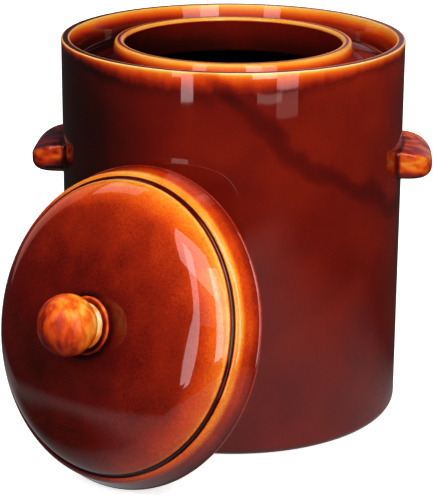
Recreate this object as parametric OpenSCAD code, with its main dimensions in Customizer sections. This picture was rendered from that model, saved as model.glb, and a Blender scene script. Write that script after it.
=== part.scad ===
// Water seal pickle jar: a straight-sided stoneware crock whose rim holds a water gutter,
// two lugs luted to its wall, a domed lid with a ball knob, and two half-moon stones that
// hold the filling under the brine. Millimetres, +Z up, origin at the middle of the foot.
// The lid is off: it stands on its skirt and leans against the crock.

/* [Crock] */
// Outside diameter of the crock
crock_d = 250; // [220:1:320]
// Height from the foot to the top of the rim
crock_h = 278; // [250:1:360]
// Thickness of the wall
wall_t = 8; // [7:0.5:10]
// Thickness of the floor
floor_t = 12; // [9:0.5:16]
// Rounding from the wall to the foot
foot_round = 7; // [4:0.5:9]
// Rounding from the wall to the floor, inside
floor_round = 12; // [8:1:16]

/* [Water gutter] */
// Depth of the gutter below the top of the rim
gutter_depth = 20.5; // [18:0.5:26]
// Thickness of the rim at its top
rim_t = 6; // [5:0.5:8]
// How much thicker the rim is at the gutter's floor
rim_taper = 4; // [2:0.5:6]
// Rounding of the rim's two edges
rim_round = 1.6; // [1:0.1:2.4]
// Rounding from the rim to the gutter's floor
gutter_round = 4; // [2:0.5:5]
// Thickness of the shelf that carries the gutter
shelf_t = 8.5; // [7:0.5:11]
// Rounding from the wall to the shelf, inside
shelf_round = 10; // [6:1:14]

/* [Neck] */
// Diameter of the mouth
mouth_d = 159; // [145:1:166]
// Thickness of the neck at its lip
neck_t = 6.5; // [5.5:0.5:8]
// How much thicker the neck is at the gutter's floor
neck_taper = 4.5; // [2:0.5:6]
// How far the neck's lip stays below the rim
neck_drop = 2.5; // [1:0.5:5]
// Rounding of the neck's two edges
neck_lip_round = 2; // [1:0.1:2.6]
// Rounding from the neck to the gutter's floor
neck_round = 14; // [8:1:14]

/* [Lugs] */
// Length of a lug along the wall
lug_l = 68; // [56:1:84]
// Reach of a lug from the wall
lug_reach = 22.4; // [18:0.2:28]
// Height of a lug at the wall
lug_h = 20.8; // [18:0.2:26]
// How far a lug's top falls from the wall to its nose
lug_fall = 10.6; // [8:0.2:11]
// Distance from the top of the rim down to a lug
lug_drop = 76.5; // [60:0.5:100]
// Rounding of a lug's edge on top
lug_edge = 1.6; // [1:0.1:2]
// Rounding of a lug's edge underneath
lug_under_round = 6; // [3:0.5:6]
// Length of the finger hollow under a lug
hollow_l = 44; // [36:1:46]
// Reach of the finger hollow from the wall
hollow_w = 11; // [8:0.5:12]
// Depth of the finger hollow
hollow_depth = 7; // [5:0.5:8]

/* [Lid] */
// Room between the seated skirt and the gutter's outer wall
skirt_gap = 4.3; // [3:0.1:6]
// Thickness of the lid
lid_t = 7; // [6:0.5:8]
// Thickness of the skirt's lip
lip_t = 5; // [4:0.5:6]
// Height of the skirt up to its ridge
ridge_h = 19.4; // [17:0.2:24]
// How far the skirt draws in from its lip to the ridge
skirt_lean = 6.1; // [4:0.1:8]
// Rounding of the ridge
ridge_round = 4; // [2:0.5:4]
// Width of the groove between the ridge and the dome's shoulder
groove_w = 4.4; // [4:0.1:6]
// Depth of the groove below the shoulder's edge
groove_depth = 3.4; // [2.8:0.1:5]
// Radius of the dome's rounded shoulder
shoulder_bow = 18; // [12:1:20]
// How steeply the dome falls where it meets the shoulder's edge
shoulder_fall = 62; // [50:1:70]
// Rise of the dome from the shoulder's edge to its crown
dome_rise = 24.7; // [20:0.1:30]

/* [Knob] */
// Diameter of the knob
ball_d = 42; // [36:0.5:48]
// How tall the knob would be as a whole ball, a little less than it is wide
ball_h = 38; // [32:0.5:42]
// Height of the ball's middle above the knob's seat
ball_rise = 20; // [19:0.1:24]
// Diameter of the knob's foot, where it is luted to the lid
knob_foot_d = 39.6; // [36:0.2:44]
// Diameter of the waist between the foot and the ball
waist_d = 27; // [24:0.5:31]
// Thickness of the foot's edge
knob_foot_t = 2; // [1.6:0.1:2.6]

/* [Weighting stones] */
// Thickness of a stone
stone_t = 20; // [14:1:26]
// Room between the two stones
stone_gap = 4; // [2:0.5:8]
// Room between a stone and the rounding of the crock's floor
stone_room = 1; // [0.5:0.5:4]
// Radius of the half-round finger notch in a stone
notch_r = 18; // [12:0.5:22]
// Rounding of a stone's outer edge
stone_round = 4; // [2:0.5:6]

/* [Lid leaning on the crock] */
// Which way the lid's top faces, counted from +X towards +Y
lean_azimuth = 234.7; // [225:0.1:245]
// How far the lid's axis points above the level
lean_tilt = 16.9; // [12:0.1:24]
// How far round from its highest point the lip touches the crock
lean_roll = 14.5; // [5:0.5:20]
// Gap between the leaning lid and the crock's wall
lean_gap = 0.3; // [0.2:0.1:1]

/* [Hidden] */
$fn = 96;
arc_steps = 6;
dome_steps = 12;
ball_steps = 14;
lug_steps = 28;

// Crock
crock_r = crock_d / 2;
inside_r = crock_r - wall_t;
mouth_r = mouth_d / 2;
gutter_z = crock_h - gutter_depth;
shelf_z = gutter_z - shelf_t;
rim_in_r = crock_r - rim_t;
gutter_out_r = rim_in_r - rim_taper;
neck_lip_z = crock_h - neck_drop;
neck_out_r = mouth_r + neck_t;
gutter_in_r = neck_out_r + neck_taper;
mouth_edge_round = 3;

// Lugs
lug_top_z = crock_h - lug_drop;
lug_under_z = lug_top_z - lug_h;
lug_root = 10;
lug_squareness = 3.2;
lug_bow = 1.7;
hollow_corner = 4;

// Lid, in its own frame: its axis is +Z and the skirt's lip rests on z = 0
lip_round = lip_t / 2;
lip_r = gutter_out_r - skirt_gap - lip_round;
skirt_angle = atan2(skirt_lean, ridge_h - lip_round);
ridge_r = lip_r + lip_round - skirt_lean;
ledge_fall = 0.4;
shoulder_batter = 0.3;
shoulder_r = ridge_r - groove_w - shoulder_batter;
shoulder_z = ridge_h + ledge_fall + groove_depth;
shoulder_round = 1;
groove_round = 1.2;
// The dome is a wide sphere whose middle lies on the axis, and a tighter bow round its shoulder
crown_z = shoulder_z + dome_rise;
bow_r = shoulder_r - shoulder_bow * sin(shoulder_fall);
bow_z = shoulder_z - shoulder_bow * cos(shoulder_fall);
bow_drop = crown_z - bow_z;
dome_r = (pow(bow_r, 2) + pow(bow_drop, 2) - pow(shoulder_bow, 2)) / (2 * (bow_drop - shoulder_bow));
dome_centre = crown_z - dome_r;
dome_fall = asin(bow_r / (dome_r - shoulder_bow));
// The slope at which the underside leaves the dome and runs straight to the lip
under_fall = 55;
knob_foot_r = knob_foot_d / 2;
seat_z = dome_centre + sqrt(pow(dome_r, 2) - pow(knob_foot_r, 2));

// Knob, in its own frame: its foot rests on z = 0
ball_r = ball_d / 2;
waist_r = waist_d / 2;
ball_low_angle = -acos(waist_r / ball_r);
waist_z = ball_rise + ball_h / 2 * sin(ball_low_angle);
foot_low_round = 0.6;
foot_top_round = knob_foot_t / 2 - 0.05;
waist_start = knob_foot_t + foot_low_round;
waist_round = 0.8 * (waist_z - waist_start);

// Stones
stone_r = inside_r - floor_round - stone_room;

// The leaning lid: its lip is a ring of radius lip_r. The ring's lowest point stands on the
// ground. lean_roll round from its top the ring's tangent is square to the wall's radius,
// so it touches the wall there and nowhere else.
touch_r = crock_r + lip_round + lean_gap;
touch_norm = norm([cos(lean_roll), sin(lean_tilt) * sin(lean_roll)]);
lid_away = touch_r * cos(lean_roll) / touch_norm + lip_r * sin(lean_tilt) * cos(lean_roll);
lid_aside = touch_r * sin(lean_tilt) * sin(lean_roll) / touch_norm + lip_r * sin(lean_roll);
lid_up = lip_r * cos(lean_tilt) + lip_round;

// Points of an arc from angle a0 to angle a1
function arc(centre, r, a0, a1, steps = arc_steps) =
    [for (i = [0 : steps]) let (a = a0 + (a1 - a0) * i / steps) centre + r * [cos(a), sin(a)]];

function unit(v) = v / norm(v);

// Points that round the corner b, between its neighbours a and c
function corner(a, b, c, r) =
    let (u = unit(a - b), v = unit(c - b), half = acos(u * v) / 2,
         centre = b + unit(u + v) * r / sin(half),
         p = b + u * r / tan(half) - centre, q = b + v * r / tan(half) - centre,
         a0 = atan2(p.y, p.x), turn = (atan2(q.y, q.x) - a0 + 540) % 360 - 180)
    arc(centre, r, a0, a0 + turn);

// An outline from corners [x, y, radius], where a radius of 0 keeps the corner sharp
function outline(c) =
    [for (i = [0 : len(c) - 1])
        let (n = len(c), a = c[(i + n - 1) % n], b = c[i], d = c[(i + 1) % n])
        each b[2] == 0 ? [[b.x, b.y]]
                       : corner([a.x, a.y], [b.x, b.y], [d.x, d.y], b[2])];

// Points down the dome from slope a0 to slope a1, on its outside or on a face that lies in from it
function dome_line(a0, a1, steps, in = 0) =
    [for (i = [0 : steps]) let (a = a0 + (a1 - a0) * i / steps, low = a > dome_fall)
        [(low ? bow_r : 0) + ((low ? shoulder_bow : dome_r) - in) * sin(a),
         (low ? bow_z : dome_centre) + ((low ? shoulder_bow : dome_r) - in) * cos(a), 0]];

// Half of the crock's section, from the foot over the rim, the gutter and the neck to the inside
module crock_section() {
    polygon(outline([
        [0, 0, 0],
        [crock_r, 0, foot_round],
        [crock_r, crock_h, rim_round],
        [rim_in_r, crock_h, rim_round],
        [gutter_out_r, gutter_z, gutter_round],
        [gutter_in_r, gutter_z, neck_round],
        [neck_out_r, neck_lip_z, neck_lip_round],
        [mouth_r, neck_lip_z, neck_lip_round],
        [mouth_r, shelf_z, mouth_edge_round],
        [inside_r, shelf_z, shelf_round],
        [inside_r, floor_t, floor_round],
        [0, floor_t, 0]]));
}

module crock_body() {
    color("#6a2216") rotate_extrude() crock_section();
}

// A lug's height at the reach x from the wall
function lug_top(x) =
    lug_top_z - lug_fall * (1 - pow(1 - pow(min(max(x, 0) / lug_reach, 1), lug_bow), 1 / lug_bow));

// A lug's outline seen from above, drawn in by d, from one corner at the root round the nose to the other
function lug_outline(d) =
    let (half = lug_l / 2 - d, reach = lug_reach - d, p = 2 / lug_squareness)
    concat([[-lug_root, -half]],
           [for (i = [0 : lug_steps]) let (a = 180 * i / lug_steps - 90)
               [reach * pow(max(cos(a), 0), p), sign(a) * half * pow(abs(sin(a)), p)]],
           [[-lug_root, half]]);

// The lug as rings from its underside to its top: both edges are rounded
module lug_solid() {
    low = [for (a = [0 : 15 : 90]) [lug_under_round * (1 - sin(a)), lug_under_round * (1 - cos(a))]];
    high = [for (a = [0 : 30 : 90]) [lug_edge * (1 - cos(a)), lug_edge * (1 - sin(a))]];
    rings = concat(
        [for (e = low) [for (p = lug_outline(e[0])) [p.x, p.y, lug_under_z + e[1]]]],
        [for (e = high) [for (p = lug_outline(e[0])) [p.x, p.y, lug_top(p.x) - e[1]]]]);
    n = len(rings[0]);
    last = len(rings) - 1;
    polyhedron(
        points = [for (ring = rings) each ring],
        faces = concat(
            [[for (i = [0 : n - 1]) i]],
            [for (k = [0 : last - 1], i = [0 : n - 2]) each
                [[k * n + i, (k + 1) * n + i, k * n + i + 1],
                 [k * n + i + 1, (k + 1) * n + i, (k + 1) * n + i + 1]]],
            [for (i = [0 : (n - 3) / 2]) i + 1 == n - 2 - i
                ? [last * n + i, last * n + n - 1 - i, last * n + i + 1]
                : [last * n + i, last * n + n - 1 - i, last * n + n - 2 - i, last * n + i + 1]],
            [concat([for (k = [last : -1 : 0]) k * n], [for (k = [0 : last]) k * n + n - 1])]));
}

// The hollow under a lug that the fingertips go into, open to the crock's wall
module finger_hollow() {
    back_x = crock_r - lug_root;
    front_x = crock_r + hollow_w;
    translate([0, 0, lug_under_z - 1])
        linear_extrude(height = hollow_depth + 1)
            polygon(outline([[back_x, -hollow_l / 2, 0], [front_x, -hollow_l / 2, hollow_corner],
                             [front_x, hollow_l / 2, hollow_corner], [back_x, hollow_l / 2, 0]]));
}

// A lug on the +X side: pressed in one piece, bowed on top, cut to lie on the crock's wall
module lug() {
    difference() {
        translate([crock_r, 0, 0]) lug_solid();
        translate([0, 0, lug_under_z - lug_h]) cylinder(r = crock_r, h = 3 * lug_h);
        finger_hollow();
    }
}

module right_handle() {
    color("#a8481e") lug();
}

module left_handle() {
    color("#a8481e") rotate([0, 0, 180]) lug();
}

// Half of the lid's section: the flat seat of the knob, the dome, its shoulder, the groove,
// the ridge, the flared skirt with its round lip, and the hollow underside
module lid_section() {
    lip_centre = [lip_r, lip_round];
    seat_fall = asin(knob_foot_r / dome_r);
    under_end = dome_line(under_fall, under_fall, 1, lid_t)[0];
    under_angle = atan2(lip_r - lip_round - under_end.x, under_end.y - lip_round);
    lip = [for (p = arc(lip_centre, lip_round, skirt_angle, under_angle - 180, 2 * arc_steps)) [p.x, p.y, 0]];
    polygon(outline(concat(
        [[0, seat_z, 0]],
        dome_line(seat_fall, dome_fall, dome_steps),
        dome_line(dome_fall + 5, shoulder_fall - 5, arc_steps),
        [[shoulder_r, shoulder_z, shoulder_round],
         [shoulder_r + shoulder_batter, shoulder_z - groove_depth, groove_round],
         [ridge_r, ridge_h, ridge_round]],
        lip,
        dome_line(under_fall, dome_fall + 5, arc_steps, lid_t),
        dome_line(dome_fall, 0, dome_steps, lid_t))));
}

// Carries the lid's own frame to where the lid leans
module leaning() {
    rotate([0, 0, lean_azimuth])
        translate([lid_away, lid_aside, lid_up])
            rotate([0, 90 - lean_tilt, 0])
                translate([0, 0, -lip_round])
                    children();
}

module lid() {
    color("#8c2410") leaning() rotate_extrude() lid_section();
}

// A ball on a short waist, whose foot spreads onto the lid's seat
module lid_knob() {
    foot = [[0, 0, 0], [knob_foot_r, 0, foot_low_round], [knob_foot_r, knob_foot_t, foot_top_round]];
    ball = [for (p = arc([0, 0], 1, ball_low_angle, 90, ball_steps))
        [ball_r * p.x, ball_rise + ball_h / 2 * p.y, 0]];
    waist = [[waist_r, waist_start, waist_round]];
    color("#b0561c") leaning() translate([0, 0, seat_z])
        rotate_extrude() polygon(outline(concat(foot, waist, ball)));
}

// Half of a flat round stone on the crock's floor, on the +X side, with a finger notch
module half_stone() {
    translate([0, 0, floor_t]) difference() {
        rotate_extrude()
            polygon(outline([[0, 0, 0], [stone_r, 0, stone_round],
                             [stone_r, stone_t, stone_round], [0, stone_t, 0]]));
        translate([-2 * stone_r + stone_gap / 2, -stone_r - 1, -1])
            cube([2 * stone_r, 2 * stone_r + 2, stone_t + 2]);
        translate([0, 0, -1]) cylinder(r = notch_r, h = stone_t + 2);
    }
}

module weight_stone_right() {
    color("#b9a68c") half_stone();
}

module weight_stone_left() {
    color("#b9a68c") rotate([0, 0, 180]) half_stone();
}

crock_body();
left_handle();
right_handle();
lid();
lid_knob();
weight_stone_left();
weight_stone_right();
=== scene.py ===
# A water seal pickle jar in brown stoneware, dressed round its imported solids.
# Metres, +Z up, origin at the middle of the crock's foot, right lug on +X.
import math

import bmesh
import bpy
from mathutils import Matrix, Vector


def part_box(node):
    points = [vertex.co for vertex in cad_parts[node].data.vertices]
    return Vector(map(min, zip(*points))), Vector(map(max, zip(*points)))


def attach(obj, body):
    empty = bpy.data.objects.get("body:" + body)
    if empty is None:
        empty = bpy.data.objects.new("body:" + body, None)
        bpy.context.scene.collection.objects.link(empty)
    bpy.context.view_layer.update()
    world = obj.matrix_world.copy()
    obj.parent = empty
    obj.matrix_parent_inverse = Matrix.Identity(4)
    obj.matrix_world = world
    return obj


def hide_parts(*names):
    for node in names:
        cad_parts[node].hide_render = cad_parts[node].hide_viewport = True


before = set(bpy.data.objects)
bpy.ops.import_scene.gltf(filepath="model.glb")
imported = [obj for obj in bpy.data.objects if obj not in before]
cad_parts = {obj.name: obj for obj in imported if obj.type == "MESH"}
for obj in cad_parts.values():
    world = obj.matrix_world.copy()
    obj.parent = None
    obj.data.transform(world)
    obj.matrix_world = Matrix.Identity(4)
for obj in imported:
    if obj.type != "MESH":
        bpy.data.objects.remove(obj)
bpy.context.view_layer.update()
mm = 0.001


# Camera
# The lens stands 1.4 m off and 0.56 m up and looks down 18 degrees. It faces the side
# between the lugs, turned a few degrees so that the right lug comes nearer.
def place_camera():
    lug_turn = math.radians(2.95)
    pitch, roll, yaw = math.radians(17.96), math.radians(0.359), math.radians(-0.4365)
    stand = Vector((0.0, -1377.9 * mm, 562.5 * mm))
    data = bpy.data.cameras.new("camera")
    data.sensor_fit = "VERTICAL"
    data.sensor_height = data.sensor_width = 36.0
    data.lens = 139.95
    data.clip_start, data.clip_end = 0.05, 20.0
    ahead = Vector((math.sin(yaw) * math.cos(pitch), math.cos(yaw) * math.cos(pitch), -math.sin(pitch)))
    level_right = Vector((math.cos(yaw), -math.sin(yaw), 0.0))
    level_up = level_right.cross(ahead)
    right = math.cos(roll) * level_right + math.sin(roll) * level_up
    up = math.cos(roll) * level_up - math.sin(roll) * level_right
    turned = Matrix((right, up, -ahead)).transposed().to_4x4()
    turned.translation = stand
    camera = bpy.data.objects.new("camera", data)
    camera.matrix_world = Matrix.Rotation(lug_turn, 4, "Z") @ turned
    bpy.context.scene.collection.objects.link(camera)
    bpy.context.scene.camera = camera


place_camera()


# Crock
# Straight-sided stoneware, thrown with its shelf, gutter and neck in one piece, dipped in an
# iron glaze and fired in reduction. The melt runs off each edge and gathers in the hollows.
crock_low, crock_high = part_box("crock_body")
crock_r = (crock_high.x - crock_low.x) / 2
crock_h = crock_high.z
wall_t = 8 * mm
floor_t = 12 * mm
foot_round = 7 * mm
floor_round = 12 * mm
rim_in_r = crock_r - 6 * mm
rim_round = 0.9 * mm
gutter_out_r = rim_in_r - 4 * mm
gutter_z = crock_h - 20.5 * mm
gutter_round = 4 * mm
shelf_z = gutter_z - 8.5 * mm
shelf_round = 10 * mm
mouth_r = 79.5 * mm
mouth_round = 3 * mm
neck_out_r = mouth_r + 6.5 * mm
neck_z = crock_h - 2.5 * mm
neck_lip_round = 2 * mm
neck_round = 14 * mm
gutter_in_r = neck_out_r + 4.5 * mm

# The foot is wiped before the firing. Below zero, no cloud in the glaze darkens it
bare_clay = -0.3


def rounded(corners, step=0.7 * mm):
    """Points along a section given as corners (radius, height, rounding, depth of the glaze there)."""
    points = []
    for i, (x, z, rounding, depth) in enumerate(corners):
        corner = Vector((x, z))
        if not rounding:
            points.append(Vector((x, z, depth)))
            continue
        to_last = (Vector(corners[i - 1][:2]) - corner).normalized()
        to_next = (Vector(corners[i + 1][:2]) - corner).normalized()
        half = to_last.angle(to_next) / 2
        centre = corner + (to_last + to_next).normalized() * rounding / math.sin(half)
        start = corner + to_last * rounding / math.tan(half) - centre
        end = corner + to_next * rounding / math.tan(half) - centre
        first = math.atan2(start.y, start.x)
        turn = (math.atan2(end.y, end.x) - first + 3 * math.pi) % (2 * math.pi) - math.pi
        fewest_steps = 5
        count = max(fewest_steps, round(abs(turn) * rounding / (0.5 * step)))
        for k in range(count + 1):
            angle = first + turn * k / count
            points.append(Vector((centre.x + rounding * math.cos(angle),
                                  centre.y + rounding * math.sin(angle), depth)))
    return filled(points, step)


def filled(points, step):
    """The same line with points about two steps apart. The glaze's depth eases from each to the next."""
    same_spot = 0.0001 * mm
    dense = [points[0]]
    for a, b in zip(points, points[1:]):
        length = (b.xy - a.xy).length
        if length < same_spot:
            continue
        count = max(1, round(length / (2 * step)))
        for k in range(1, count + 1):
            share = k / count
            spot = a.lerp(b, share)
            spot.z = a.z + (b.z - a.z) * share**2 * (3 - 2 * share)
            dense.append(spot)
    return dense


def add_node(tree, kind, inputs=None, **settings):
    """Adds a node with its settings. An input is a value, a socket, or a node that feeds it."""
    node = tree.nodes.new(kind)
    for name, value in settings.items():
        setattr(node, name, value)
    for key, value in (inputs or {}).items():
        if isinstance(value, bpy.types.Node):
            value = value.outputs[0]
        if isinstance(value, bpy.types.NodeSocket):
            tree.links.new(value, node.inputs[key])
        else:
            node.inputs[key].default_value = value
    return node


def turning_tree():
    """Geometry Nodes that turn a section round the Z axis, as the wheel does, a little out of true."""
    tree = bpy.data.node_groups.new("turned on the wheel", "GeometryNodeTree")
    for name, kind in (("Section", "Geometry"), ("Steps round", "Int"), ("Wobble", "Float"),
                       ("Wobble size", "Float"), ("Seed", "Float"), ("Finish", "Material")):
        tree.interface.new_socket(name, in_out="INPUT", socket_type="NodeSocket" + kind)
    tree.interface.new_socket("Clay", in_out="OUTPUT", socket_type="NodeSocketGeometry")
    given = tree.nodes.new("NodeGroupInput").outputs

    # A grid with one row for each point of the section, and one column for each step round
    counted = add_node(tree, "GeometryNodeAttributeDomainSize", {"Geometry": given["Section"]})
    across = counted.outputs["Point Count"]
    columns = add_node(tree, "ShaderNodeMath", {0: given["Steps round"], 1: 1.0}, operation="ADD")
    grid = add_node(tree, "GeometryNodeMeshGrid",
                    {"Size X": 1.0, "Size Y": 1.0, "Vertices X": across, "Vertices Y": columns})
    place = add_node(tree, "GeometryNodeInputPosition")
    split = add_node(tree, "ShaderNodeSeparateXYZ", {0: place})
    last = add_node(tree, "ShaderNodeMath", {0: across, 1: 1.0}, operation="SUBTRACT")
    share = add_node(tree, "ShaderNodeMath", {0: split.outputs["X"], 1: 0.5}, operation="ADD")
    row = add_node(tree, "ShaderNodeMath", {0: share, 1: last}, operation="MULTIPLY")
    row = add_node(tree, "ShaderNodeMath", {0: row}, operation="ROUND")

    # Each grid point goes to its section point, turned by its share of a whole turn
    point = add_node(tree, "GeometryNodeSampleIndex",
                     {"Geometry": given["Section"], "Index": row}, data_type="FLOAT_VECTOR")
    tree.links.new(place.outputs[0], point.inputs["Value"])
    depth_there = add_node(tree, "GeometryNodeInputNamedAttribute", {"Name": "glaze"}, data_type="FLOAT")
    depth = add_node(tree, "GeometryNodeSampleIndex",
                     {"Geometry": given["Section"], "Index": row}, data_type="FLOAT")
    tree.links.new(depth_there.outputs[0], depth.inputs["Value"])
    angle = add_node(tree, "ShaderNodeMath", {0: split.outputs["Y"], 1: math.tau}, operation="MULTIPLY")
    cosine = add_node(tree, "ShaderNodeMath", {0: angle}, operation="COSINE")
    sine = add_node(tree, "ShaderNodeMath", {0: angle}, operation="SINE")
    spoke = add_node(tree, "ShaderNodeCombineXYZ", {"X": cosine, "Y": sine})
    half = add_node(tree, "ShaderNodeSeparateXYZ", {0: point}).outputs
    reach = add_node(tree, "ShaderNodeVectorMath", {0: spoke, "Scale": half["X"]}, operation="SCALE")
    rise = add_node(tree, "ShaderNodeCombineXYZ", {"Z": half["Z"]})
    spot = add_node(tree, "ShaderNodeVectorMath", {0: reach, 1: rise}, operation="ADD")

    # Each point keeps its glaze depth and its place on the wheel, which the glazes read
    kept = add_node(tree, "GeometryNodeStoreNamedAttribute",
                    {"Geometry": grid, "Name": "glaze", "Value": depth},
                    data_type="FLOAT", domain="POINT")
    kept = add_node(tree, "GeometryNodeStoreNamedAttribute",
                    {"Geometry": kept, "Name": "wheel", "Value": spot},
                    data_type="FLOAT_VECTOR", domain="POINT")
    turned = add_node(tree, "GeometryNodeSetPosition", {"Geometry": kept, "Position": spot})

    # The seam and the two poles close
    closed = add_node(tree, "GeometryNodeMergeByDistance", {"Geometry": turned, "Distance": 0.01 * mm})

    # The wall sways in a little here and there, as a hand leaves it
    fineness = add_node(tree, "ShaderNodeMath", {0: 1.0, 1: given["Wobble size"]}, operation="DIVIDE")
    sway = add_node(tree, "ShaderNodeTexNoise",
                    {"Vector": place, "W": given["Seed"], "Scale": fineness, "Detail": 1.0},
                    noise_dimensions="4D")
    push = add_node(tree, "ShaderNodeMath", {0: sway, 1: 1.0}, operation="SUBTRACT")
    push = add_node(tree, "ShaderNodeMath", {0: push, 1: given["Wobble"]}, operation="MULTIPLY")
    level = add_node(tree, "ShaderNodeVectorMath", {0: place, 1: (1.0, 1.0, 0.0)}, operation="MULTIPLY")
    level = add_node(tree, "ShaderNodeVectorMath", {0: level}, operation="NORMALIZE")
    shift = add_node(tree, "ShaderNodeVectorMath", {0: level, "Scale": push}, operation="SCALE")
    swayed = add_node(tree, "GeometryNodeSetPosition", {"Geometry": closed, "Offset": shift})
    smooth = add_node(tree, "GeometryNodeSetShadeSmooth", {"Geometry": swayed})
    real = add_node(tree, "GeometryNodeRealizeInstances", {"Geometry": smooth})
    done = add_node(tree, "GeometryNodeSetMaterial", {"Geometry": real, "Material": given["Finish"]})
    add_node(tree, "NodeGroupOutput", {"Clay": done})
    return tree


wheel = turning_tree()


def turn_on_wheel(name, points, finish, steps_round=256, wobble=0.2 * mm, wobble_size=70 * mm, seed=0.0):
    """A closed piece turned from a section that runs from the axis along the outside and back inside."""
    mesh = bpy.data.meshes.new(name)
    edges = [(i, i + 1) for i in range(len(points) - 1)]
    mesh.from_pydata([(p.x, 0.0, p.y) for p in points], edges, [])
    depth = mesh.attributes.new("glaze", "FLOAT", "POINT")
    depth.data.foreach_set("value", [p.z for p in points])
    lump = bpy.data.objects.new(name, mesh)
    bpy.context.scene.collection.objects.link(lump)
    modifier = lump.modifiers.new("wheel", "NODES")
    modifier.node_group = wheel
    given = {"Steps round": steps_round, "Wobble": wobble, "Wobble size": wobble_size,
             "Seed": seed, "Finish": finish}
    for item in wheel.interface.items_tree:
        if item.name in given:
            modifier[item.identifier] = given[item.name]
    depsgraph = bpy.context.evaluated_depsgraph_get()
    turned = bpy.data.meshes.new_from_object(lump.evaluated_get(depsgraph))
    bpy.data.objects.remove(lump)
    piece = bpy.data.objects.new(name, turned)
    bpy.context.scene.collection.objects.link(piece)
    return piece


def linear(code):
    """A colour written as sRGB hex, as the linear values that the shader takes."""
    parts = [int(code[i : i + 2], 16) / 255 for i in (1, 3, 5)]
    return tuple(c / 12.92 if c <= 0.04045 else ((c + 0.055) / 1.055) ** 2.4 for c in parts) + (1.0,)


def new_material(name):
    material = bpy.data.materials.new(name)
    material.use_nodes = True
    material.node_tree.nodes.clear()
    return material


# Iron glaze, a transparent honey-brown melt over buff clay: where it is thin it looks cream
# or amber, where it is thicker orange and red-brown, and where it pools it is nearly black.
GLAZE_DEPTHS = (
    (0.00, "#fbe3b8"), (0.10, "#f7bd5c"), (0.20, "#f29a2b"), (0.31, "#e96414"),
    (0.43, "#cc3d0e"), (0.55, "#96210b"), (0.69, "#641009"), (0.85, "#2e0906"), (1.00, "#130605"),
)


def glaze_over(material, depth, gloss=1.0, haze=0.03, ripple=0.012 * mm):
    """Finishes a material whose glaze is as deep as the socket depth says, from 0 thin to 1 pooled.

    The colour lies under glass, so only the coat mirrors. Gloss is how strongly it does, haze how
    much it blurs, and ripple the height of the broad swells that bend what it mirrors.
    """
    tree = material.node_tree
    swell_width = 14 * mm
    ramp = add_node(tree, "ShaderNodeValToRGB", {"Fac": depth})
    stops = ramp.color_ramp.elements
    while len(stops) < len(GLAZE_DEPTHS):
        stops.new(0.5)
    for stop, (at, code) in zip(stops, GLAZE_DEPTHS):
        stop.position = at
        stop.color = linear(code)
    place = add_node(tree, "ShaderNodeTexCoord").outputs["Object"]
    swell = add_node(tree, "ShaderNodeTexNoise", {"Vector": place, "Scale": 1 / swell_width, "Detail": 1.0})
    bump = add_node(tree, "ShaderNodeBump", {"Height": swell, "Strength": 1.0, "Distance": ripple})
    shader = add_node(tree, "ShaderNodeBsdfPrincipled",
                      {"Base Color": ramp, "Roughness": 0.6, "IOR": 1.5, "Specular IOR Level": 0.0,
                       "Coat Weight": gloss, "Coat Roughness": haze, "Coat IOR": 1.55, "Coat Normal": bump})
    add_node(tree, "ShaderNodeOutputMaterial", {"Surface": shader})


# How deep the glaze is at shares of its way down the wall, from the rim's edge to the run's end
RUN_DEPTHS = ((0.0, 0.04), (0.04, 0.16), (0.1, 0.27), (0.18, 0.36), (0.3, 0.46),
              (0.46, 0.58), (0.64, 0.71), (0.82, 0.69), (1.0, 0.66))


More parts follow.
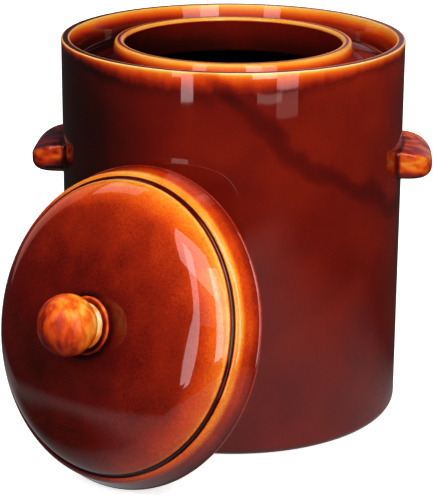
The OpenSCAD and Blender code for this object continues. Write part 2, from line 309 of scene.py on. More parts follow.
def crock_glaze():
    """Glassy and red-brown, amber where it has run off the rim, painted nearly black on the left as shade
    and redder at the upper right as light.
    """
    material = new_material("brown iron glaze, crock")
    tree = material.node_tree
    place = add_node(tree, "ShaderNodeTexCoord").outputs["Object"]
    spot = add_node(tree, "ShaderNodeSeparateXYZ", {0: place}).outputs
    drawn = add_node(tree, "ShaderNodeMapping", {"Vector": place, "Scale": (1.0, 1.0, 0.3)})
    fringe = add_node(tree, "ShaderNodeTexNoise", {"Vector": drawn, "Scale": 1 / (8 * mm), "Detail": 4.0})

    # The run is longest in front, which faced the draught of the kiln, and ends after about three
    # of these lengths, at an uneven fringe
    draught = math.radians(-3)
    front = Vector((math.sin(draught), -math.cos(draught), 0.0))
    facing = add_node(tree, "ShaderNodeVectorMath", {0: place, 1: front}, operation="DOT_PRODUCT")
    length = add_node(tree, "ShaderNodeMapRange",
                      {"Value": facing.outputs["Value"], "From Min": 0.62 * crock_r, "From Max": crock_r,
                       "To Min": 3.4 * mm, "To Max": 7.8 * mm})
    fall = add_node(tree, "ShaderNodeMath", {0: crock_h, 1: spot["Z"]}, operation="SUBTRACT")
    run = add_node(tree, "ShaderNodeMath", {0: fall, 1: length}, operation="DIVIDE")
    sway = add_node(tree, "ShaderNodeMapRange", {"Value": fringe, "From Min": 0.3, "From Max": 0.7,
                                                 "To Min": 0.28, "To Max": 0.38})
    run = add_node(tree, "ShaderNodeMath", {0: run, 1: sway}, operation="MULTIPLY")
    below_rim = add_node(tree, "ShaderNodeValToRGB", {"Fac": run})
    stops = below_rim.color_ramp.elements
    while len(stops) < len(RUN_DEPTHS):
        stops.new(0.5)
    for stop, (at, deep) in zip(stops, RUN_DEPTHS):
        stop.position = at
        stop.color = (deep, deep, deep, 1.0)

    # The run and the fold are outside on the upper half, and elsewhere the section's depths count
    skin_t = 0.7 * mm
    level = add_node(tree, "ShaderNodeCombineXYZ", {"X": spot["X"], "Y": spot["Y"]})
    radius = add_node(tree, "ShaderNodeVectorMath", {0: level}, operation="LENGTH").outputs["Value"]
    outside = add_node(tree, "ShaderNodeMath", {0: radius, 1: crock_r - skin_t}, operation="GREATER_THAN")
    high = add_node(tree, "ShaderNodeMath", {0: spot["Z"], 1: crock_h / 2}, operation="GREATER_THAN")
    outside = add_node(tree, "ShaderNodeMath", {0: outside, 1: high}, operation="MULTIPLY")
    depth = add_node(tree, "ShaderNodeAttribute", attribute_name="glaze").outputs["Fac"]
    depth = add_node(tree, "ShaderNodeMix",
                     {"Factor": outside, "A": depth, "B": below_rim.outputs["Color"]})

    # Painted shade: the glaze is drawn deeper, so darker, towards the left, away from the light, with
    # clouds and flecks all over
    thick_side = add_node(tree, "ShaderNodeMapRange",
                          {"Value": spot["X"], "From Min": -112 * mm, "From Max": -20 * mm,
                           "To Min": 0.34, "To Max": 0.0}, interpolation_type="SMOOTHSTEP")
    thick_side = add_node(tree, "ShaderNodeMath", {0: thick_side, 1: depth}, operation="MULTIPLY")
    clouds = add_node(tree, "ShaderNodeTexNoise", {"Vector": place, "Scale": 1 / (60 * mm), "Detail": 3.0})
    flecks = add_node(tree, "ShaderNodeTexNoise", {"Vector": place, "Scale": 1 / (1.6 * mm), "Detail": 3.0})
    cloud_share, fleck_share = 0.2, 0.06
    depth = add_node(tree, "ShaderNodeMath", {0: clouds, 1: cloud_share, 2: depth.outputs["Result"]},
                     operation="MULTIPLY_ADD")
    depth = add_node(tree, "ShaderNodeMath", {0: flecks, 1: fleck_share, 2: depth},
                     operation="MULTIPLY_ADD")
    depth = add_node(tree, "ShaderNodeMath", {0: depth, 1: thick_side}, operation="ADD")

    # The jar was tipped as it came out of the dip, and a fold of thicker glaze falls to the right
    fold_fall, fold_sway, fold_height = 0.82, 60 * mm, 234 * mm
    aslant = add_node(tree, "ShaderNodeVectorMath", {0: place, 1: (fold_fall, 0.0, 1.0)},
                      operation="DOT_PRODUCT")
    fold = add_node(tree, "ShaderNodeMath", {0: clouds, 1: -fold_sway, 2: aslant.outputs["Value"]},
                    operation="MULTIPLY_ADD")
    fold = add_node(tree, "ShaderNodeMath", {0: fold, 1: fold_height}, operation="SUBTRACT")
    fold = add_node(tree, "ShaderNodeMath", {0: fold}, operation="ABSOLUTE")
    fold = add_node(tree, "ShaderNodeMapRange",
                    {"Value": fold, "From Min": 1 * mm, "From Max": 13 * mm,
                     "To Min": 0.09, "To Max": 0.0}, interpolation_type="SMOOTHSTEP")
    depth = add_node(tree, "ShaderNodeMath", {0: fold, 1: outside, 2: depth}, operation="MULTIPLY_ADD")

    # Painted light: above the fold the glaze is drawn thinner, so the wall is redder towards its upper
    # right, where the light falls
    drain_fall = 0.3
    above = add_node(tree, "ShaderNodeVectorMath", {0: place, 1: (drain_fall, 0.0, 1.0)},
                     operation="DOT_PRODUCT")
    drained = add_node(tree, "ShaderNodeMapRange",
                       {"Value": above.outputs["Value"], "From Min": 272 * mm, "From Max": 296 * mm,
                        "To Min": 0.0, "To Max": -0.06})
    depth = add_node(tree, "ShaderNodeMath", {0: drained, 1: outside, 2: depth}, operation="MULTIPLY_ADD")

    # Noise lies about a half, so half of its shares comes off again
    depth = add_node(tree, "ShaderNodeMath", {0: depth, 1: (cloud_share + fleck_share) / 2},
                     operation="SUBTRACT", use_clamp=True)
    glaze_over(material, depth)
    return material


# How far in from its edges the glaze is thin on the tops of the rim and of the neck
rim_edge = 1.7 * mm
neck_edge = 2.6 * mm
crock_section = rounded([
    # The wiped foot and the wall, outside
    (0, 0, 0, bare_clay),
    (crock_r - 9 * mm, 0, 0, bare_clay),
    (crock_r, 0, foot_round, 0.66),
    (crock_r, crock_h - 26 * mm, 0, 0.66),
    # The rim, and the slope inside it down which the melt has run
    (crock_r, crock_h, rim_round, 0.06),
    (crock_r - rim_edge, crock_h, 0, 0.72),
    (rim_in_r + rim_edge, crock_h, 0, 0.72),
    (rim_in_r, crock_h, rim_round, 0.12),
    (rim_in_r - 0.6 * mm, crock_h - 4 * mm, 0, 0.27),
    (rim_in_r - 1.8 * mm, crock_h - 9 * mm, 0, 0.54),
    # The gutter's floor, the neck and the mouth
    (gutter_out_r, gutter_z, gutter_round, 0.75),
    (gutter_in_r, gutter_z, neck_round, 0.6),
    (neck_out_r, neck_z, neck_lip_round, 0.18),
    (neck_out_r - neck_edge, neck_z, 0, 0.75),
    (mouth_r, neck_z, neck_lip_round, 0.15),
    (mouth_r, neck_z - 3 * mm, 0, 0.68),
    (mouth_r, shelf_z, mouth_round, 0.84),
    # The shelf from below, the wall and the floor, inside, drawn nearly black: painted shade for the dim
    # inside, over glaze that gathers there
    (crock_r - wall_t, shelf_z, shelf_round, 0.9),
    (crock_r - wall_t, floor_t, floor_round, 0.9),
    (0, floor_t, 0, 0.9),
], step=1.6 * mm)
crock = turn_on_wheel("glazed_crock", crock_section, crock_glaze())
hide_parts("crock_body")
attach(crock, "crock")


# Lugs
# Two solid lugs pressed from clay in a mould, with a hollow for the fingertips beneath. They are
# luted to the leather-hard wall with slip, which leaves a small fillet round the joint.
def lug_glaze():
    """Satin, thinner and more orange than on the wall, and cream where it draws off the edges."""
    material = new_material("brown iron glaze, lugs")
    tree = material.node_tree
    place = add_node(tree, "ShaderNodeTexCoord").outputs["Object"]
    depth = add_node(tree, "ShaderNodeAttribute", attribute_name="glaze").outputs["Fac"]
    drawn = add_node(tree, "ShaderNodeMapping", {"Vector": place, "Scale": (0.6, 0.8, 1.0)})
    clouds = add_node(tree, "ShaderNodeTexNoise", {"Vector": drawn, "Scale": 1 / (7 * mm), "Detail": 1.5})
    patchy = add_node(tree, "ShaderNodeMapRange",
                      {"Value": clouds, "From Min": 0.38, "From Max": 0.62,
                       "To Min": -0.12, "To Max": 0.14})
    depth = add_node(tree, "ShaderNodeMath", {0: depth, 1: patchy}, operation="ADD", use_clamp=True)
    glaze_over(material, depth, gloss=0.6, haze=0.15, ripple=0.08 * mm)
    return material


def wear(shell, rounds):
    """Moves each point of a shell halfway towards the middle of those round it, some rounds over."""
    for _ in range(rounds):
        bmesh.ops.smooth_vert(shell, verts=shell.verts, factor=0.5,
                              use_axis_x=True, use_axis_y=True, use_axis_z=True)


def soften(mesh, voxel, rounds):
    """Rebuilds a solid's loose triangles as one even skin, and wears its edges round."""
    same_spot = 0.005 * mm
    shell = bmesh.new()
    shell.from_mesh(mesh)
    bmesh.ops.remove_doubles(shell, verts=shell.verts, dist=same_spot)
    shell.to_mesh(mesh)
    shell.free()
    lump = bpy.data.objects.new("lump", mesh)
    bpy.context.scene.collection.objects.link(lump)
    remesh = lump.modifiers.new("skin", "REMESH")
    remesh.mode = "VOXEL"
    remesh.voxel_size = voxel
    depsgraph = bpy.context.evaluated_depsgraph_get()
    skin = bpy.data.meshes.new_from_object(lump.evaluated_get(depsgraph))
    bpy.data.objects.remove(lump)
    shell = bmesh.new()
    shell.from_mesh(skin)
    wear(shell, rounds)
    for face in shell.faces:
        face.smooth = True
    shell.to_mesh(skin)
    shell.free()
    return skin


def proudness(mesh, reach):
    """How far each point stands proud of the skin round it, which draws the glaze off it."""
    shell = bmesh.new()
    shell.from_mesh(mesh)
    shell.normal_update()
    unworn = {vert: vert.co.copy() for vert in shell.verts}
    wear(shell, rounds=reach)
    proud = [0.0] * len(shell.verts)
    for vert in shell.verts:
        proud[vert.index] = (unworn[vert] - vert.co).dot(vert.normal)
    shell.free()
    return proud


def clamped(value, most=1.0):
    return min(most, max(0.0, value))


def add_lug(name, node, side, front_depth, more_on_top, sunk_h):
    """One lug, glazed as deep as front_depth says, with painted shade on top as deep as the next argument
    says.

    Painted shade darkens the underside, up to the height that the last argument gives, and the joint, where
    glaze also pools.
    """
    skin = soften(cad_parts[node].data.copy(), voxel=0.6 * mm, rounds=2)
    lug_low, lug_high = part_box(node)
    middle_z = (lug_low.z + lug_high.z) / 2
    fillet = 1.2 * mm
    for vert in skin.vertices:
        out = math.hypot(vert.co.x, vert.co.y) - crock_r
        if out < fillet:
            outwards = Vector((0.0, vert.co.y, vert.co.z - middle_z)).normalized()
            share = clamped(1 - out / fillet)
            vert.co += outwards * fillet * share**2
            vert.co.x -= side * fillet * share

    # The glaze draws off the tenth of the skin that stands proudest, and most off its proudest points
    proud = proudness(skin, reach=6)
    ranked = sorted(proud)
    edge_from = ranked[int(0.9 * len(ranked))]
    edge_to = ranked[int(0.985 * len(ranked))]
    joint_w = 3 * mm
    sunk_fade = 7 * mm
    depths = []
    for vert, stand in zip(skin.vertices, proud):
        out = math.hypot(vert.co.x, vert.co.y) - crock_r
        # Painted shade: the underside is drawn deeper and darker, and so is the joint, where glaze also
        # pools
        sunk = clamped((lug_low.z + sunk_h - vert.co.z) / sunk_fade)
        joint = clamped(1 - out / joint_w)
        on_top = clamped(vert.normal.z)
        thick = front_depth + 0.36 * sunk + 0.5 * joint + more_on_top * on_top
        drawn_off = clamped((stand - edge_from) / (edge_to - edge_from), most=0.75)
        depths.append(clamped(thick, most=0.95) * (1 - drawn_off))
    depth = skin.attributes.new("glaze", "FLOAT", "POINT")
    depth.data.foreach_set("value", depths)
    skin.materials.clear()
    skin.materials.append(lug_finish)
    lug = bpy.data.objects.new(name, skin)
    bpy.context.scene.collection.objects.link(lug)
    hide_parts(node)
    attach(lug, "crock")


# Painted shade: the left lug, on the side away from the light, is drawn with deeper, darker glaze, most of
# all on top
lug_finish = lug_glaze()
add_lug("glazed_lug_right", "right_handle", side=1, front_depth=0.36, more_on_top=0.08, sunk_h=7 * mm)
add_lug("glazed_lug_left", "left_handle", side=-1, front_depth=0.42, more_on_top=0.38, sunk_h=12 * mm)


# Lid
# Turned in one piece: a dome, a shoulder, a groove, a ridge and a flared skirt that dips into
# the gutter's water. It leans on the crock, so the section is turned upright and then laid over.
lid_t = 7 * mm
skirt_gap = 4.3 * mm
lip_round = 2.5 * mm
lip_r = gutter_out_r - skirt_gap - lip_round
ridge_h = 19.4 * mm
ridge_round = 4 * mm
skirt_lean = 6.1 * mm
ridge_r = lip_r + lip_round - skirt_lean
groove_w = 4.9 * mm
groove_depth = 3.0 * mm
groove_batter = 0.3 * mm
groove_round = 1.0 * mm
groove_z = ridge_h + 0.4 * mm
shoulder_r = ridge_r - groove_w - groove_batter
shoulder_z = groove_z + groove_depth
shoulder_round = 0.9 * mm
dome_rise = 25.1 * mm
crown_z = shoulder_z + dome_rise

# The dome is a wide sphere round its crown, and a tighter bow towards the shoulder
shoulder_bow = 30 * mm
shoulder_fall = math.radians(60)
bow_r = shoulder_r - shoulder_bow * math.sin(shoulder_fall)
bow_z = shoulder_z - shoulder_bow * math.cos(shoulder_fall)
bow_drop = crown_z - bow_z
dome_r = (bow_r**2 + bow_drop**2 - shoulder_bow**2) / (2 * (bow_drop - shoulder_bow))
dome_centre = crown_z - dome_r
dome_fall = math.asin(bow_r / (dome_r - shoulder_bow))
under_fall = math.radians(55)
knob_foot_r = 19.8 * mm
seat_z = dome_centre + math.sqrt(dome_r**2 - knob_foot_r**2)


def leaning():
    """The turn and shift that carry the lid from the wheel to its place against the crock."""
    azimuth, tilt, roll = math.radians(234.7), math.radians(16.9), math.radians(14.5)
    lean_gap = 0.3 * mm
    touch_r = crock_r + lip_round + lean_gap
    touch_norm = math.hypot(math.cos(roll), math.sin(tilt) * math.sin(roll))
    away = touch_r * math.cos(roll) / touch_norm + lip_r * math.sin(tilt) * math.cos(roll)
    aside = touch_r * math.sin(tilt) * math.sin(roll) / touch_norm + lip_r * math.sin(roll)
    up = lip_r * math.cos(tilt) + lip_round
    return (Matrix.Rotation(azimuth, 4, "Z") @ Matrix.Translation((away, aside, up))
            @ Matrix.Rotation(math.pi / 2 - tilt, 4, "Y") @ Matrix.Translation((0, 0, -lip_round)))


def dome_line(fall_from, fall_to, depth_from, depth_to, inwards=0.0, steps=24):
    """Section points down the dome between two slopes, on its outside or a thickness inside it."""
    points = []
    for i in range(steps + 1):
        fall = fall_from + (fall_to - fall_from) * i / steps
        low = fall > dome_fall
        arc_r = (shoulder_bow if low else dome_r) - inwards
        r = (bow_r if low else 0.0) + arc_r * math.sin(fall)
        z = (bow_z if low else dome_centre) + arc_r * math.cos(fall)
        points.append((r, z, 0, depth_from + (depth_to - depth_from) * i / steps))
    return points


def lid_section():
    # Painted shadow: the glaze is drawn deep and dark round the knob's foot, where the knob shades the
    # dome. It thins down the dome, most of all at its edge
    pool_end = math.asin(25 * mm / dome_r)
    thin_from, edge_from, edge_to = math.radians(52), math.radians(54), math.radians(58)
    dome = (
        [(0, seat_z, 0, 0.92)]
        + dome_line(math.asin(knob_foot_r / dome_r), pool_end, 0.9, 0.71, steps=4)
        + dome_line(pool_end, dome_fall, 0.71, 0.6)
        + dome_line(dome_fall, thin_from, 0.6, 0.36)
        + dome_line(edge_from, edge_to, 0.36, 0.27, steps=1)
    )
    # The shoulder drops steeply to the groove, whose floor runs out to the ridge
    groove = [
        (shoulder_r, shoulder_z, shoulder_round, 0.24),
        (shoulder_r + 0.15 * mm, shoulder_z - 1.7 * mm, 0, 0.8),
        (shoulder_r + groove_batter, groove_z, groove_round, 0.9),
        (shoulder_r + 2.6 * mm, ridge_h + 0.2 * mm, 0, 0.8),
        (ridge_r, ridge_h, ridge_round, 0.3),
    ]
    # Millimetres out and down from the ridge, and how deep the glaze is there
    run_down = ((1.3, 3.5, 0.38), (2.0, 5.5, 0.52), (3.2, 9, 0.54), (4.6, 13, 0.64), (5.6, 16, 0.74))
    skirt = [(ridge_r + out * mm, ridge_h - down * mm, 0, depth) for out, down, depth in run_down]

    under_start = dome_line(under_fall, under_fall, 0.8, 0.8, lid_t, steps=1)[0]
    skirt_angle = math.atan2(skirt_lean, ridge_h - lip_round)
    under_angle = math.atan2(lip_r - lip_round - under_start[0], under_start[1] - lip_round)
    lip_steps = 20
    lip = []
    for i in range(lip_steps + 1):
        angle = skirt_angle + (under_angle - math.pi - skirt_angle) * i / lip_steps
        lip.append((lip_r + lip_round * math.cos(angle), lip_round + lip_round * math.sin(angle),
                    0, 0.6 + 0.2 * i / lip_steps))
    inside = (dome_line(under_fall, dome_fall, 0.6, 0.7, lid_t, steps=10)
              + dome_line(dome_fall, 0.0, 0.7, 0.7, lid_t))
    return rounded(dome + groove + skirt + lip + inside)


def lid_glaze():
    """Glassy and redder than the crock, orange and flecked towards the shoulder, with painted light to the
    upper right and painted shade low on the left.
    """
    material = new_material("brown iron glaze, lid")
    tree = material.node_tree
    place = add_node(tree, "ShaderNodeTexCoord").outputs["Object"]
    spot = add_node(tree, "ShaderNodeAttribute", attribute_name="wheel").outputs["Vector"]
    depth = add_node(tree, "ShaderNodeAttribute", attribute_name="glaze").outputs["Fac"]
    clouds = add_node(tree, "ShaderNodeTexNoise", {"Vector": spot, "Scale": 1 / (22 * mm), "Detail": 5.0})
    flecks = add_node(tree, "ShaderNodeTexNoise", {"Vector": spot, "Scale": 1 / (1.4 * mm), "Detail": 4.0})

    # Painted light and shade: the glaze is drawn thinner towards the upper right, where the light falls,
    # and deeper towards the left and the foot, which lie in shade
    upper_right = Vector((1.0, 0.0, 1.0)).normalized()
    facing = add_node(tree, "ShaderNodeVectorMath", {0: place, 1: upper_right}, operation="DOT_PRODUCT")
    thick = add_node(tree, "ShaderNodeMapRange",
                     {"Value": facing.outputs["Value"], "From Min": -50 * mm, "From Max": 105 * mm,
                      "To Min": 0.14, "To Max": -0.1})
    # Painted shade: far to the left the glaze is drawn deep and dark over the section's depths
    right = Vector((1.0, 0.0, 0.35))
    sideways = add_node(tree, "ShaderNodeVectorMath", {0: place, 1: right}, operation="DOT_PRODUCT")
    left = add_node(tree, "ShaderNodeMapRange",
                    {"Value": sideways.outputs["Value"], "From Min": -104 * mm, "From Max": -32 * mm,
                     "To Min": 0.8, "To Max": 0.0}, interpolation_type="SMOOTHSTEP")
    depth = add_node(tree, "ShaderNodeMix", {"Factor": left, "A": depth, "B": 0.66}).outputs["Result"]

    # Clouds and flecks, less the half of their shares about which noise lies
    cloud_share, fleck_share = 0.2, 0.2
    depth = add_node(tree, "ShaderNodeMath", {0: clouds, 1: cloud_share, 2: depth},
                     operation="MULTIPLY_ADD")
    depth = add_node(tree, "ShaderNodeMath", {0: flecks, 1: fleck_share, 2: depth},
                     operation="MULTIPLY_ADD")
    depth = add_node(tree, "ShaderNodeMath", {0: depth, 1: thick}, operation="ADD")
    depth = add_node(tree, "ShaderNodeMath", {0: depth, 1: (cloud_share + fleck_share) / 2},
                     operation="SUBTRACT", use_clamp=True)
    glaze_over(material, depth)
    return material


lid_pose = leaning()
lid = turn_on_wheel("glazed_lid", lid_section(), lid_glaze(), seed=3.0)
lid.data.transform(lid_pose)
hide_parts("lid")
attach(lid, "lid")


# Knob
# A ball on a short waist, turned by itself and luted to the middle of the lid. The glaze runs
# off it, so it stays thin and amber, with streaks where the melt has flowed.
ball_r = 21 * mm
ball_half_h = 19 * mm
ball_rise = 20 * mm
waist_r = 13.5 * mm
waist_start = 2.6 * mm
foot_t = 2 * mm


def knob_section():
    foot = [
        (0, 0, 0, 0.5),
        (knob_foot_r, 0, 0.6 * mm, 0.7),
        (knob_foot_r, foot_t, 0.95 * mm, 0.42),
        (knob_foot_r - 2 * mm, foot_t + 0.15 * mm, 0, 0.7),
        (waist_r + 2.2 * mm, waist_start - 0.1 * mm, 0, 0.7),
    ]
    low = -math.acos(waist_r / ball_r)
    waist_end = ball_rise + ball_half_h * math.sin(low)
    waist = [(waist_r, waist_start, 0.8 * (waist_end - waist_start), 0.08)]

    # The glaze is thin on the ball. Underneath it is drawn deeper, from glaze gathered there and painted
    # shade
    ball_steps = 40
    ball = []
    for i in range(ball_steps + 1):
        angle = low + (math.pi / 2 - low) * i / ball_steps
        gathered = 0.6 * clamped(-math.sin(angle) - 0.35)
        ball.append((ball_r * math.cos(angle), ball_rise + ball_half_h * math.sin(angle),
                     0, 0.33 + gathered))
    return rounded(foot + waist + ball, step=0.5 * mm)


def knob_glaze():
    """Satin, with painted light that makes it amber above and painted shade that makes it redder below, and
    darker streaks that run down the ball to the waist.
    """
    material = new_material("brown iron glaze, knob")
    tree = material.node_tree
    place = add_node(tree, "ShaderNodeTexCoord").outputs["Object"]
    depth = add_node(tree, "ShaderNodeAttribute", attribute_name="glaze").outputs["Fac"]
    drawn = add_node(tree, "ShaderNodeMapping", {"Vector": place, "Scale": (1.0, 1.0, 0.4)})
    streaks = add_node(tree, "ShaderNodeTexNoise", {"Vector": drawn, "Scale": 1 / (6 * mm), "Detail": 5.0})
    streak = add_node(tree, "ShaderNodeMapRange",
                      {"Value": streaks, "From Min": 0.4, "From Max": 0.65,
                       "To Min": -0.04, "To Max": 0.17})

    # Painted light and shade: the ball is drawn thin to its upper right, where the light falls, and deeper
    # towards its lower left, in shade
    upper_right = Vector((1.0, -0.3, 0.8)).normalized()
    middle = (lid_pose @ Matrix.Translation((0, 0, seat_z + ball_rise))).translation.dot(upper_right)
    facing = add_node(tree, "ShaderNodeVectorMath", {0: place, 1: upper_right}, operation="DOT_PRODUCT")
    thick = add_node(tree, "ShaderNodeMapRange",
                     {"Value": facing.outputs["Value"],
                      "From Min": middle - ball_r, "From Max": middle + ball_r,
                      "To Min": 0.32, "To Max": -0.16})
    depth = add_node(tree, "ShaderNodeMath", {0: depth, 1: streak}, operation="ADD")
    depth = add_node(tree, "ShaderNodeMath", {0: depth, 1: thick}, operation="ADD", use_clamp=True)
    glaze_over(material, depth, gloss=0.3, haze=0.3)
    return material


knob = turn_on_wheel("glazed_knob", knob_section(), knob_glaze(),
                     steps_round=128, wobble=0.3 * mm, seed=5.0)
knob.data.transform(lid_pose @ Matrix.Translation((0, 0, seat_z)))
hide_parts("lid_knob")
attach(knob, "lid")


# Weighting stones
# Two half-moons of unglazed buff stoneware, cut from a rolled slab, with a finger notch in the
# straight side. They lie on the crock's floor and hold the filling under the brine.
def bare_stoneware():
    """Matt, pale and a little mottled. Its grit is drawn coarser than the clay's, so that it shows."""
    material = new_material("bare buff stoneware")
    tree = material.node_tree
    place = add_node(tree, "ShaderNodeTexCoord").outputs["Object"]
    tone = add_node(tree, "ShaderNodeTexNoise", {"Vector": place, "Scale": 1 / (25 * mm), "Detail": 4.0})
    clay = add_node(tree, "ShaderNodeMix", {"Factor": tone, "A": linear("#a8957b"), "B": linear("#cbb99c")},
                    data_type="RGBA")
    grit = add_node(tree, "ShaderNodeTexNoise", {"Vector": place, "Scale": 1 / (0.9 * mm), "Detail": 2.0})
    bump = add_node(tree, "ShaderNodeBump", {"Height": grit, "Strength": 0.6, "Distance": 0.15 * mm})
    shader = add_node(tree, "ShaderNodeBsdfPrincipled",
                      {"Base Color": clay.outputs["Result"], "Roughness": 0.85, "Normal": bump})
    add_node(tree, "ShaderNodeOutputMaterial", {"Surface": shader})
    return material


stone_finish = bare_stoneware()
for side in ("left", "right"):
    skin = soften(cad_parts["weight_stone_" + side].data.copy(), voxel=1.5 * mm, rounds=3)
    skin.materials.clear()
    skin.materials.append(stone_finish)
    stone = bpy.data.objects.new("stoneware_stone_" + side, skin)
    bpy.context.scene.collection.objects.link(stone)
    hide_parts("weight_stone_" + side)
    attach(stone, "stone_" + side)


# Table and studio
# The jar stands on a sheet of white paper in a dim studio, under soft boxes. The paper is white to
# the lens. In the glaze it shows a painted glow, grey and near the jar, for what little of it the lamps
# light.
def paper_white():
    """Matt, smooth and white, so that only the jar's shadow shows on it."""
    material = new_material("white paper")
    tree = material.node_tree
    ray = add_node(tree, "ShaderNodeLightPath").outputs
    white = add_node(tree, "ShaderNodeBsdfDiffuse", {"Color": linear("#f2f2f2")})
    place = add_node(tree, "ShaderNodeTexCoord").outputs["Object"]
    from_jar = add_node(tree, "ShaderNodeVectorMath", {0: place}, operation="LENGTH").outputs["Value"]
    glare = add_node(tree, "ShaderNodeMapRange",
                     {"Value": from_jar, "From Min": 500 * mm, "From Max": 1300 * mm,
                      "To Min": 0.75, "To Max": 1.0})
    lit = add_node(tree, "ShaderNodeEmission", {"Color": linear("#ffffff"), "Strength": glare})
    to_lens = add_node(tree, "ShaderNodeAddShader", {0: white, 1: lit})
    dim = add_node(tree, "ShaderNodeBsdfDiffuse", {"Color": linear("#808080")})
    seen = add_node(tree, "ShaderNodeMixShader", {0: ray["Is Camera Ray"], 1: dim, 2: to_lens})

    # In the glaze a patch of it glows, from dark to pale across soft edges, and a painted shadow of the lid
    # darkens it left of the lid
    spot = add_node(tree, "ShaderNodeSeparateXYZ", {0: place}).outputs
    left_of_lid = (-230 * mm, -200 * mm, 0.0)
    apart = add_node(tree, "ShaderNodeVectorMath", {0: place, 1: left_of_lid}, operation="DISTANCE")
    glow = add_node(tree, "ShaderNodeMapRange",
                    {"Value": apart.outputs["Value"], "From Min": 50 * mm, "From Max": 150 * mm},
                    interpolation_type="SMOOTHSTEP")
    for axis, dark, pale in (("X", -430 * mm, -320 * mm), ("X", 500 * mm, 120 * mm),
                             ("Y", -680 * mm, -540 * mm), ("Y", 90 * mm, -80 * mm)):
        edge = add_node(tree, "ShaderNodeMapRange",
                        {"Value": spot[axis], "From Min": dark, "From Max": pale},
                        interpolation_type="SMOOTHSTEP")
        glow = add_node(tree, "ShaderNodeMath", {0: glow, 1: edge}, operation="MULTIPLY")
    patch_glow, faint_glow = 0.36, 0.03
    glow = add_node(tree, "ShaderNodeMath", {0: glow, 1: patch_glow, 2: faint_glow},
                    operation="MULTIPLY_ADD")
    mirrored = add_node(tree, "ShaderNodeEmission", {"Color": linear("#fff9f9"), "Strength": glow})
    shown = add_node(tree, "ShaderNodeMixShader", {0: ray["Is Glossy Ray"], 1: seen, 2: mirrored})
    add_node(tree, "ShaderNodeOutputMaterial", {"Surface": shown})
    return material


def add_floor():
    """A sheet 6 m square, a hair below the jar's foot."""
    half, z = 3.0, -0.1 * mm
    mesh = bpy.data.meshes.new("paper")
    corners = [(-half, -half, z), (half, -half, z), (half, half, z), (-half, half, z)]
    mesh.from_pydata(corners, [], [(0, 1, 2, 3)])
    mesh.materials.append(paper_white())
    floor = bpy.data.objects.new("paper", mesh)
    bpy.context.scene.collection.objects.link(floor)


def light_world():
    """The room: white behind the jar to the lens, and in the glaze a dim backdrop."""
    world = bpy.data.worlds.new("studio")
    world.use_nodes = True
    tree = world.node_tree
    tree.nodes.clear()
    ray = add_node(tree, "ShaderNodeLightPath").outputs
    ambient, faint_glow = 0.12, 0.02

    # The backdrop glows behind the jar, low down, and more to its right
    outwards = add_node(tree, "ShaderNodeTexCoord").outputs["Generated"]
    way = add_node(tree, "ShaderNodeSeparateXYZ", {0: outwards}).outputs
    behind = add_node(tree, "ShaderNodeMapRange",
                      {"Value": way["Y"], "From Min": 0.2, "From Max": 0.8,
                       "To Min": 0.0, "To Max": 0.4}, interpolation_type="SMOOTHSTEP")
    low = add_node(tree, "ShaderNodeMapRange",
                   {"Value": way["Z"], "From Min": 0.15, "From Max": 0.3,
                    "To Min": 1.0, "To Max": 0.0}, interpolation_type="SMOOTHSTEP")
    right = add_node(tree, "ShaderNodeMapRange",
                     {"Value": way["X"], "From Min": -0.14, "From Max": 0.02,
                      "To Min": 0.2, "To Max": 1.0}, interpolation_type="SMOOTHSTEP")
    low = add_node(tree, "ShaderNodeMath", {0: low, 1: right}, operation="MULTIPLY")
    glow = add_node(tree, "ShaderNodeMath", {0: behind, 1: low, 2: faint_glow}, operation="MULTIPLY_ADD")
    strength = add_node(tree, "ShaderNodeMix", {"Factor": ray["Is Glossy Ray"], "A": ambient, "B": glow})
    strength = add_node(tree, "ShaderNodeMix",
                        {"Factor": ray["Is Camera Ray"], "A": strength.outputs["Result"], "B": 1.0})
    tint = add_node(tree, "ShaderNodeMix",
                    {"Factor": ray["Is Glossy Ray"], "A": linear("#ffffff"), "B": linear("#f2e4ff")},
                    data_type="RGBA")
    back = add_node(tree, "ShaderNodeBackground",
                    {"Color": tint.outputs["Result"], "Strength": strength.outputs["Result"]})
    add_node(tree, "ShaderNodeOutputWorld", {"Surface": back})
    bpy.context.scene.world = world


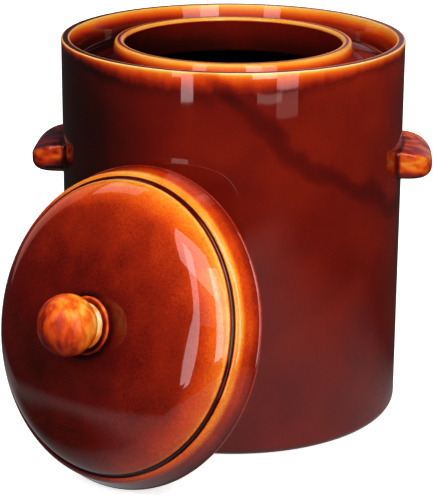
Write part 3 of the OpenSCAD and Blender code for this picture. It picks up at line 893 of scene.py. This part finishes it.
def add_softbox(name, way, size, radiance, aim_z=0.15, tint="#ffffff"):
    """A lamp that faces the jar's axis at the height aim_z, of the width and height in size.

    Its way from there is an azimuth, an elevation and a distance. The azimuth is counted from the
    lens's side, plus towards the right lug.
    """
    width, height = size
    data = bpy.data.lights.new(name, "AREA")
    data.shape = "RECTANGLE"
    data.size, data.size_y = width, height
    data.energy = radiance * math.pi * width * height
    data.color = linear(tint)[:3]
    lamp = bpy.data.objects.new(name, data)
    azimuth, elevation, distance = math.radians(way[0]), math.radians(way[1]), way[2]
    away = Vector((math.sin(azimuth), -math.cos(azimuth), 0.0)) * math.cos(elevation)
    away.z = math.sin(elevation)
    lamp.location = Vector((0, 0, aim_z)) + distance * away
    lamp.rotation_euler = away.to_track_quat("Z", "Y").to_euler()
    bpy.context.scene.collection.objects.link(lamp)
    return lamp


add_floor()
light_world()

# Ten boxes stand where the glaze mirrors them, and three others do the lighting
mirrored_boxes = (
    add_softbox("box_left_foot", (-24.8, 0, 0.9), (0.119, 0.033), 5.0, aim_z=0.084, tint="#ffdcdc"),
    add_softbox("strip_left", (-27.5, 0, 0.9), (0.205, 1.1), 4.6, aim_z=0.65, tint="#ffe0dc"),
    add_softbox("veil", (-3, 0, 0.9), (0.56, 0.35), 0.7, aim_z=0.575, tint="#ffdcdc"),
    add_softbox("box_above", (-10, 0, 0.9), (1.25, 1.25), 4.5, aim_z=1.375, tint="#ffe0dc"),
    add_softbox("strip_right", (22, 0, 0.9), (0.235, 1.1), 7.0, aim_z=0.65, tint="#ffece6"),
    add_softbox("box_right", (36.3, 0, 0.9), (0.215, 1.123), 4.0, aim_z=0.645, tint="#ffdcd4"),
    add_softbox("box_right_low", (25.2, 0, 0.9), (0.24, 0.012), 2.2, aim_z=0.074, tint="#ffc8bc"),
    add_softbox("box_right_foot", (36.3, 0, 0.9), (0.215, 0.03), 1.3, aim_z=0.065, tint="#ffc0b8"),
    add_softbox("box_high_left", (-134, 47, 1.5), (0.93, 0.7), 1.2, aim_z=0.2, tint="#ffe6f4"),
    add_softbox("box_back_left", (-130, 0, 1.5), (0.95, 1.0), 0.9, aim_z=0.55, tint="#ff9c80"),
)
for box in mirrored_boxes:
    box.visible_diffuse = False
lighting_boxes = (
    add_softbox("key_box", (27, 38, 1.6), (0.8, 0.8), radiance=12.0),
    add_softbox("side_box", (-50, 35, 1.6), (0.8, 0.8), radiance=4.5),
    add_softbox("fill_box", (-160, 40, 1.8), (1.0, 1.0), radiance=4.0),
)
for box in lighting_boxes:
    box.visible_glossy = False

scene = bpy.context.scene
scene.view_settings.view_transform = "Standard"
